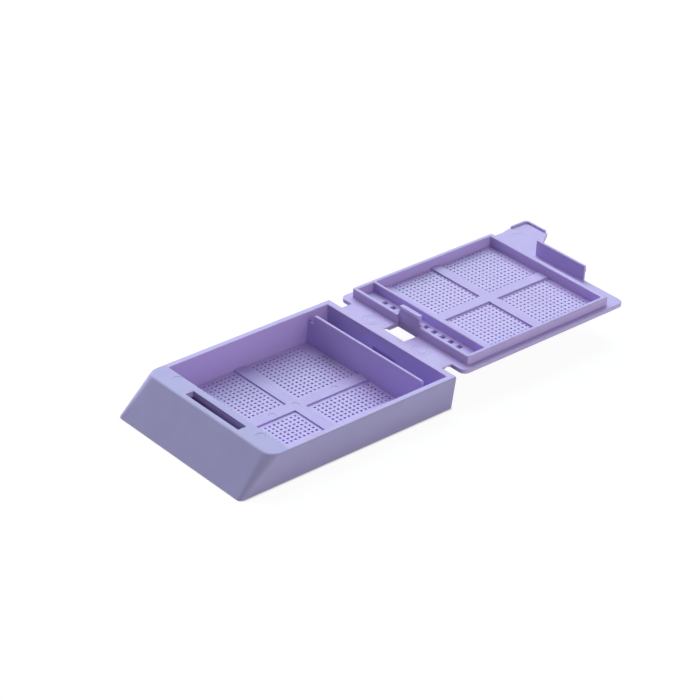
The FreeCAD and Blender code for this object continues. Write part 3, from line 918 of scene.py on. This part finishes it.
    def edge_width(self, low: Vector, high: Vector) -> float:
        """Look up by how much an edge of the tray is eased.

        Args:
            low: Low corner of the box that the edge spans.
            high: High corner of that box.

        Returns:
            The width of the rounding, or 0 for an edge that stays sharp.
        """
        tray_low, tray_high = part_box(self.node)
        ledge_end = tray_low.x + self.ledge_run
        nearest, farthest = sorted((abs(low.y), abs(high.y)))
        if low.z > tray_high.z - TOUCH:
            outer = (
                low.y > tray_high.y - self.rim_band
                or high.y < tray_low.y + self.rim_band
                or low.x > tray_high.x - self.rim_band
                or high.x < tray_low.x + self.face_run + self.front_band
            )
            if outer:
                return self.rim_ease
            on_ledge = high.x < ledge_end - self.ledge_slack and farthest < tray_high.y - 2 * self.side_wall
            return self.bar_ease if on_ledge else self.mouth_ease
        if high.z < TOUCH:
            at_edge = (
                farthest > tray_high.y - self.side_wall
                or high.x < tray_low.x + self.foot_band
                or low.x > tray_high.x - self.foot_band
            )
            return self.foot_ease if at_edge else self.fine_ease
        if high.z < self.bar_top + TOUCH:
            in_corner = high.x < ledge_end + self.ledge_slack and nearest > self.floor_half
            return 0.0 if in_corner else self.bar_ease
        return self.fine_ease

    def dress(self) -> None:
        """Satin inside, etched over the slanted face, the rim above it and the outer walls."""
        finishes = (SATIN, ETCHED, LEDGE)
        for finish in finishes:
            self.piece.data.materials.append(finish.material())
        tray_low, tray_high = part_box(self.node)
        middle = (tray_low + tray_high) / 2
        for face in self.piece.data.polygons:
            lean = face.normal.z
            outward = face.normal.x * (face.center.x - middle.x) + face.normal.y * (face.center.y - middle.y)
            at_side = abs(face.center.y) > tray_high.y - self.outer_skin
            at_rear = face.center.x > tray_high.x - self.outer_skin
            at_foot = face.center.x < tray_low.x + self.outer_skin
            at_front = face.normal.x < -self.steep and (lean > self.slope or at_foot)
            at_ledge = face.center.x < tray_low.x + self.etched_run
            on_outside = outward > 0 and self.overhang < lean < LEVEL and (at_side or at_rear or at_front)
            on_rim = at_ledge and lean > LEVEL and face.center.z > tray_high.z - self.rim_ease
            face.material_index = finishes.index(LEDGE if on_rim else ETCHED if on_outside else SATIN)


@dataclass
class LidShell(Shell):
    """The lid's plate, ribs, hook, tongue and finger tab.

    Attributes:
        plate_ease: Rounding of the plate's outline.
        rib_ease: Rounding of the ribs' tops and corners.
        rib_end_ease: Rounding of the rib's upright ends beside the window.
        part_ease: Rounding of the hook, the tongue and the tab's bead.
        bead_ease: Rounding of the inner top edge of the tab's bead.
        fine_ease: Rounding of everything smaller.
        plate: Thickness of the plate.
        rib: Height of the ribs above the plate.
        lead_start: Where the slope on the hook's lip ends, below the hook's tip.
        lead_more: How much further down that slope is drawn.
        lip: Height of the hook's lip.
        lip_ease: Rounding of the lip.
        bead: Height and thickness of the tab's bead.
        tab_corner: Plan radius of the tab's far corner.
        hook_zone: Half the width and the length along X, from the hinge, of the place round the hook.
        hook_gap: Edges across that are shorter than this, round the hook, are the rib's thin ends.
        tab_run: Length along X from the plate's hinge edge to the tab.
        side_band: How far out to the sides the plate's long edges lie.
        hinge_band: Length along X of the plate's band beside the hinge.
        far_run: Length along X from the plate's hinge edge to its far band.
    """

    name: str = "lid_shell"
    node: str = "lid"
    body: Body = Body.LID
    pane_bottom: float = 4.90 * MM
    pane_top: float = 5.20 * MM
    plate_ease: float = 0.12 * MM
    rib_ease: float = 0.20 * MM
    rib_end_ease: float = 0.25 * MM
    part_ease: float = 0.08 * MM
    bead_ease: float = 0.13 * MM
    fine_ease: float = 0.04 * MM
    plate: float = 0.70 * MM
    rib: float = 1.43 * MM
    lead_start: float = 0.20 * MM
    lead_more: float = 0.12 * MM
    lip: float = 0.50 * MM
    lip_ease: float = 0.05 * MM
    bead: float = 0.34 * MM
    tab_corner: float = 0.90 * MM
    hook_zone: tuple[float, float] = (3.4 * MM, 3.2 * MM)
    hook_gap: float = 1.2 * MM
    tab_run: float = 36.0 * MM
    side_band: float = 13.2 * MM
    hinge_band: float = 1.6 * MM
    far_run: float = 33.0 * MM

    def mend(self) -> None:
        """Draw the slope on the hook's lip further down."""
        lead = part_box(self.node)[1].z - self.lead_start
        open_mesh(self.piece)
        pick(Element.EDGE, lambda edge: lies_at(edge, Z, lead))
        bpy.ops.transform.translate(value=(0, 0, -self.lead_more))
        close_mesh()

    def edge_width(self, low: Vector, high: Vector) -> float:
        """Look up by how much an edge of the lid is eased.

        Args:
            low: Low corner of the box that the edge spans.
            high: High corner of that box.

        Returns:
            The width of the rounding.
        """
        lid_low, lid_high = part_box(self.node)
        plate_top = lid_low.z + self.plate
        rib_top = plate_top + self.rib
        farthest = max(abs(low.y), abs(high.y))
        by_hook = farthest < self.hook_zone[0] and high.x < lid_low.x + self.hook_zone[1]
        below_rib_top = high.z < rib_top + TOUCH
        if low.z > rib_top - TOUCH and below_rib_top:
            return self.fine_ease if by_hook and high.y - low.y < self.hook_gap else self.rib_ease
        if by_hook and high.z - low.z > self.rib - TOUCH and below_rib_top and low.z > lid_low.z + TOUCH:
            return self.rib_end_ease
        if by_hook and low.z > lid_high.z - self.lip - TOUCH:
            return self.lip_ease
        if by_hook and low.z > rib_top - TOUCH:
            return self.fine_ease
        if low.z > plate_top + TOUCH:
            return self._bead_width(low, high) if low.x > lid_low.x + self.tab_run else self.part_ease
        at_hinge = high.x < lid_low.x + self.hinge_band
        if farthest > self.side_band or at_hinge or low.x > lid_low.x + self.far_run:
            return self.plate_ease
        return self.rib_ease if high.z > plate_top + TOUCH else self.fine_ease

    def _bead_width(self, low: Vector, high: Vector) -> float:
        """Look up by how much an edge of the tab's bead is eased: most along its inner top edge.

        Args:
            low: Low corner of the box that the edge spans.
            high: High corner of that box.

        Returns:
            The width of the rounding.
        """
        lid_low, lid_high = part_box(self.node)
        along = (low + high) / 2 - (lid_high - Vector((self.tab_corner, self.tab_corner, 0.0)))
        inner = math.hypot(max(along.x, 0.0), max(along.y, 0.0)) < self.tab_corner - self.bead / 2
        level = high.z - low.z < TOUCH and high.z > lid_low.z + self.plate + self.bead - TOUCH
        return self.bead_ease if inner and level else self.fine_ease


@dataclass
class HookRoot:
    """A hollow root that stiffens one side of the hook on top of its rib.

    Attributes:
        name: Name of the piece.
        outward: -1 for the root on the right and 1 for the one on the left.
        radius: Radius of its hollow face.
        thick: Thickness along X.
        setback: How far it stands behind the hook's face.
        hook_thick: Thickness of the hook.
        rib_top: Height of the rib, below the hook's tip.
        seat: How far it reaches into the hook and the rib.
        ease: Rounding of its edges.
    """

    name: str
    outward: int
    radius: float = 0.75 * MM
    thick: float = 0.38 * MM
    setback: float = 0.02 * MM
    hook_thick: float = 0.60 * MM
    rib_top: float = 1.67 * MM
    seat: float = 0.08 * MM
    ease: float = 0.03 * MM

    def build(self) -> Piece:
        """Model a block, hollow it with a cylinder and round its edges.

        Returns:
            The finished piece.
        """
        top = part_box("lid")[1].z
        tip = [vert.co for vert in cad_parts["lid"].data.vertices if vert.co.z > top - TOUCH]
        side = max(self.outward * point.y for point in tip) * self.outward
        middle_x = max(point.x for point in tip) - self.hook_thick + self.setback + self.thick / 2
        base = top - self.rib_top
        reach = self.radius + self.seat
        shift = (self.radius - self.seat) / 2
        put_down_all()
        bpy.ops.mesh.primitive_cube_add(
            size=1.0,
            location=(middle_x, side + self.outward * shift, base + shift),
            scale=(self.thick, reach, reach),
        )
        root = bpy.context.object
        root.name = root.data.name = self.name
        bpy.ops.object.transform_apply()
        put_down_all()
        bpy.ops.mesh.primitive_cylinder_add(
            vertices=64,
            radius=self.radius,
            depth=2 * self.thick,
            location=(middle_x, side + self.outward * self.radius, base + self.radius),
            rotation=(0, math.pi / 2, 0),
        )
        subtract(root, bpy.context.object)
        modify(root, "BEVEL", limit_method="ANGLE", width=self.ease, segments=2)
        smooth_off(root)
        root.data.materials.append(SATIN.material())
        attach(root, Body.LID.value)
        log.info("%s: %d faces", self.name, len(root.data.polygons))
        return root


# ---- Folding strip ----


@dataclass
class FoldingStrip:
    """The thin strip that joins tray and lid and bends when the lid closes.

    Attributes:
        name: Name of the piece.
        node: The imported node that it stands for.
        slices: Number of slices across the bend.
        ease: Rounding of its ends and of the window's edges.
        marks: The ejector pins' marks.
    """

    name: str = "folding_strip"
    node: str = "hinge_film"
    slices: int = 18
    ease: float = 0.05 * MM
    marks: tuple[PinMark, ...] = ()

    def build(self) -> Piece:
        """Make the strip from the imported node, sliced finely enough to bend.

        Returns:
            The finished piece.
        """
        low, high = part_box(self.node)
        strip = copy_of_node(self.node, self.name)
        open_mesh(strip)
        bpy.ops.mesh.select_all(action="SELECT")
        bpy.ops.mesh.dissolve_limited(angle_limit=FLAT, use_dissolve_boundaries=False)

        def is_side(edge: Edge) -> bool:
            """Whether an edge bounds the top face elsewhere than at tray and lid."""
            bounds_top = lies_at(edge, Z, high.z) and edge.calc_face_angle(0.0) > CREASE
            return bounds_top and not any(lies_at(edge, X, end) for end in (low.x, high.x))

        pick(Element.EDGE, is_side)
        bpy.ops.mesh.bevel(offset=self.ease, segments=2)
        close_mesh()
        for mark in self.marks:
            subtract(strip, mark.cutter())
        for index in range(1, self.slices):
            open_mesh(strip)
            bpy.ops.mesh.select_all(action="SELECT")
            slice_at(X, low.x + (high.x - low.x) * index / self.slices)
            close_mesh()
        smooth_off(strip)
        strip.data.materials.append(SATIN.material())
        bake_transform(strip)
        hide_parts(self.node)
        log.info("%s: %d slices, %d faces", self.name, self.slices, len(strip.data.polygons))
        return strip


# ---- Sub-assemblies ----


RING_ACROSS = 5.55 * MM
RING_RADII = (1.45 * MM, 0.88 * MM)


def hinge_rings() -> tuple[RingMark, ...]:
    """Place the two double rings that cross the rim, the folding strip and the lid.

    Returns:
        The four rings.
    """
    low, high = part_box("hinge_film")
    middle = (low.x + high.x) / 2
    places = [(side * RING_ACROSS, radius) for side in (-1, 1) for radius in RING_RADII]
    return tuple(RingMark(middle, across, high.z, radius=radius) for across, radius in places)


@dataclass
class Tray:
    """The tray: its shell and the four panes of its floor.

    Attributes:
        columns: Holes of each pane along X.
        rows: Holes of each pane across.
        holes: Sizes of the holes.
        shift: How far each grid lies off the middle of its pane, along X and Y.
        blank_columns: Columns of the rear left pane that stop short.
        blank_rows: Rows that they stop short by.
        bar_top: Height of the floor's bars.
        rim_pins: X and Y of the ejector pins' marks on the rim.
        rim_pin: Radius of those marks.
        bar_pins: X and Y of the marks on the bars.
        bar_pin: Radius of those marks.
    """

    columns: int = 14
    rows: int = 14
    holes: PaneHoles = field(default_factory=PaneHoles)
    shift: tuple[float, float] = (0.10 * MM, -0.05 * MM)
    blank_columns: int = 2
    blank_rows: int = 5
    bar_top: float = 0.65 * MM
    rim_pins: tuple[tuple[float, float], ...] = ((-14.2 * MM, 9.85 * MM), (-14.35 * MM, -9.05 * MM))
    rim_pin: float = 0.8 * MM
    bar_pins: tuple[tuple[float, float], ...] = (
        (-4.6 * MM, -0.15 * MM),
        (0.0, 0.0),
        (0.0, 11.7 * MM),
        (7.6 * MM, 0.0),
    )
    bar_pin: float = 0.6 * MM

    def build(self) -> None:
        """Build the shell and fill its openings."""
        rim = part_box("tray")[1].z
        marks = [PinMark(x, y, rim, radius=self.rim_pin) for x, y in self.rim_pins]
        marks += [PinMark(x, y, self.bar_top, radius=self.bar_pin) for x, y in self.bar_pins]
        openings = TrayShell(marks=(*marks, *hinge_rings())).build()
        blank = (
            range(self.columns - self.blank_columns, self.columns),
            range(self.rows - self.blank_rows, self.rows),
        )
        for (low, high), name in zip(openings, ("front_right", "front_left", "rear_right", "rear_left")):
            span = ((self.columns - 1) * self.holes.pitch, (self.rows - 1) * self.holes.pitch)
            pane = MeshPane(
                name=f"tray_pane_{name}",
                body=Body.TRAY,
                low=low,
                high=high,
                first=tuple((low[axis] + high[axis] - span[axis]) / 2 + self.shift[axis] for axis in (X, Y)),
                columns=self.columns,
                rows=self.rows,
                holes=self.holes,
            )
            if name == "rear_left":
                pane.blank = blank
            pane.build()


@dataclass
class Lid:
    """The lid: its shell, the four panes of its floor and the hook's two roots.

    Attributes:
        near_columns: Holes along X of the panes next to the hinge.
        far_columns: Holes along X of the panes beyond the cross bar.
        rows: Holes of each pane across.
        holes: Sizes of the holes.
        near_start: Pane's low X to the first hole of the panes next to the hinge.
        far_start: The same for the panes beyond the cross bar.
        row_start: Lengthwise bar to the first row.
        tab_pin: X and Y of the ejector pin's mark on the finger tab.
        tab_pin_size: Radius and depth of that mark.
    """

    near_columns: int = 11
    far_columns: int = 13
    rows: int = 14
    holes: PaneHoles = field(default_factory=lambda: PaneHoles(side=0.27 * MM))
    near_start: float = 0.98 * MM
    far_start: float = 0.75 * MM
    row_start: float = 0.42 * MM
    tab_pin: tuple[float, float] = (56.0 * MM, 11.05 * MM)
    tab_pin_size: tuple[float, float] = (1.3 * MM, 0.03 * MM)

    def build(self) -> None:
        """Build the shell, fill its openings and stiffen the hook."""
        pin = PinMark(*self.tab_pin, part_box("hinge_film")[1].z, *self.tab_pin_size)
        openings = LidShell(marks=(pin, *hinge_rings())).build()
        for (low, high), name in zip(openings, ("near_right", "near_left", "far_right", "far_left")):
            near = name.startswith("near")
            first_y = low.y + self.row_start
            if low.y < 0:
                first_y = high.y - self.row_start - (self.rows - 1) * self.holes.pitch
            MeshPane(
                name=f"lid_pane_{name}",
                body=Body.LID,
                low=low,
                high=high,
                first=(low.x + (self.near_start if near else self.far_start), first_y),
                columns=self.near_columns if near else self.far_columns,
                rows=self.rows,
                holes=self.holes,
            ).build()
        for name, outward in (("hook_root_right", -1), ("hook_root_left", 1)):
            HookRoot(name, outward).build()


# ---- Studio ----


@dataclass(frozen=True)
class Softbox:
    """A soft rectangular lamp.

    Attributes:
        name: Name of the lamp.
        azimuth: Direction that it shines from, in degrees, 0 from -Y and 90 from +X.
        elevation: Height above the horizon, in degrees.
        strength: Its power in watts.
        tint: Its colour.
        distance: Distance from the middle of the object.
        size: Side of its square face.
    """

    name: str
    azimuth: float
    elevation: float
    strength: float
    tint: tuple[float, float, float]
    distance: float = 1.0
    size: float = 0.8

    def hang(self, target: Vector) -> None:
        """Hang the lamp and aim it.

        Args:
            target: The point that it faces.
        """
        lamp = bpy.data.lights.new(self.name, "AREA")
        lamp.shape = "SQUARE"
        lamp.size = self.size
        lamp.energy = self.strength
        lamp.color = self.tint
        aim(lay_out(self.name, lamp), target, self.azimuth, self.elevation, self.distance)


def aim(
    thing: Piece, target: Vector, azimuth: float, elevation: float, distance: float, roll: float = 0.0
) -> None:
    """Stand a lamp or a camera off a point and turn it to face that point.

    Args:
        thing: The lamp or the camera.
        target: The point.
        azimuth: Its direction from there, in degrees, 0 towards -Y and 90 towards +X.
        elevation: Its height above the horizon, in degrees.
        distance: How far off it stands.
        roll: Its turn about its line of sight, in degrees.
    """
    turn, rise = math.radians(azimuth), math.radians(elevation)
    back = Vector((math.sin(turn) * math.cos(rise), -math.cos(turn) * math.cos(rise), math.sin(rise)))
    facing = (-back).to_track_quat("-Z", "Y").to_matrix().to_4x4()
    rolled = facing @ Matrix.Rotation(math.radians(roll), 4, "Z")
    thing.matrix_world = Matrix.Translation(target + back * distance) @ rolled


@dataclass
class Studio:
    """Floor, lamps, surroundings and camera.

    Attributes:
        floor_size: Side of the floor.
        floor_colour: Its colour.
        ambient: Colour of the surroundings as soft light.
        floor_white: Brightness of the plain white in what the camera sees of the floor.
        floor_lift: Share of that white.
        contact: How near the object that white gives way to the object's shadow.
        lamps: The soft lamps.
        target: The point that the camera looks at.
        azimuth: The camera's direction, in degrees.
        elevation: The camera's height, in degrees.
        roll: The camera's roll, in degrees.
        distance: The camera's distance from the target.
        lens: Its focal length, in millimetres.
        sensor: Width of its sensor, in millimetres.
        clip: The nearest and the farthest that it sees.
    """

    floor_size: float = 4.0
    floor_colour: tuple[float, float, float] = (0.86, 0.86, 0.87)
    ambient: tuple[float, float, float] = (0.055, 0.053, 0.052)
    floor_white: float = 1.06
    floor_lift: float = 0.88
    contact: float = 0.35 * MM
    lamps: tuple[Softbox, ...] = (
        Softbox("lamp_behind_right", 135.0, 50.0, 8.4, (0.79, 1.0, 0.98)),
        Softbox("lamp_behind_left", 180.0, 20.0, 10.6, (1.0, 0.90, 0.945)),
        Softbox("lamp_beside", 0.0, 20.0, 5.1, (1.0, 0.925, 0.81)),
        Softbox("lamp_front", -90.0, 20.0, 0.3, (1.0, 0.97, 0.96)),
    )
    target: Vector = field(default_factory=lambda: Vector((17.3135, 7.727, 0.0)) * MM)
    azimuth: float = -42.80
    elevation: float = 30.712
    roll: float = 2.862
    distance: float = 390.41 * MM
    lens: float = 132.48
    sensor: float = 36.0
    clip: tuple[float, float] = (0.01, 20.0)

    def build(self) -> None:
        """Lay the floor, light it and set up the camera."""
        self._floor()
        self._surroundings()
        for lamp in self.lamps:
            lamp.hang(self.target)
        self._camera()
        bpy.context.scene.view_settings.view_transform = "Standard"
        log.info("studio: %d lamps", len(self.lamps))

    def _floor(self) -> None:
        """A plain pale floor that keeps the object's shadow and is white to the camera elsewhere."""
        put_down_all()
        bpy.ops.mesh.primitive_plane_add(size=self.floor_size)
        floor = bpy.context.object
        floor.name = "studio_floor"
        paint = bpy.data.materials.new("pale_floor")
        paint.use_nodes = True
        tree = paint.node_tree
        plain = tree.nodes["Principled BSDF"]
        colour = (*self.floor_colour, 1.0)
        feed(plain, {"Base Color": colour, "Roughness": 0.9, "Specular IOR Level": 0.0})
        white = add_node(tree, "Emission", {"Strength": self.floor_white}).outputs["Emission"]
        share = add_node(tree, "LightPath", {}).outputs["Is Camera Ray"]
        away = add_node(tree, "AmbientOcclusion", {"Distance": self.contact}).outputs["AO"]
        for factor in (self.floor_lift, away):
            product = add_node(tree, "Math", {0: share, 1: factor})
            product.operation = "MULTIPLY"
            share = product.outputs["Value"]
        mix = add_node(tree, "MixShader", {"Fac": share, 1: plain.outputs["BSDF"], 2: white})
        feed(tree.nodes["Material Output"], {"Surface": mix.outputs["Shader"]})
        floor.data.materials.append(paint)

    def _surroundings(self) -> None:
        """White surroundings to the eye, soft grey light on the object."""
        world = bpy.data.worlds.new("studio")
        bpy.context.scene.world = world
        world.use_nodes = True
        tree = world.node_tree
        tree.nodes.clear()
        soft = add_node(tree, "Background", {"Color": (*self.ambient, 1.0)}).outputs["Background"]
        white = add_node(tree, "Background", {"Color": (1.0, 1.0, 1.0, 1.0)}).outputs["Background"]
        to_eye = add_node(tree, "LightPath", {}).outputs["Is Camera Ray"]
        mix = add_node(tree, "MixShader", {"Fac": to_eye, 1: soft, 2: white})
        add_node(tree, "OutputWorld", {"Surface": mix.outputs["Shader"]})

    def _camera(self) -> None:
        """The camera at its place, turned by its roll."""
        eye = bpy.data.cameras.new("camera")
        eye.lens = self.lens
        eye.sensor_width = self.sensor
        eye.clip_start, eye.clip_end = self.clip
        camera = lay_out("camera", eye)
        aim(camera, self.target, self.azimuth, self.elevation, self.distance, self.roll)
        bpy.context.scene.camera = camera


def main() -> None:
    """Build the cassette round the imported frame, light it and set up the view."""
    logging.basicConfig(level=logging.INFO, format="%(message)s", stream=sys.stdout, force=True)
    put_down_all()
    Tray().build()
    Lid().build()
    FoldingStrip(marks=hinge_rings()).build()
    Studio().build()
    put_down_all()


if __name__ == "__main__":
    main()
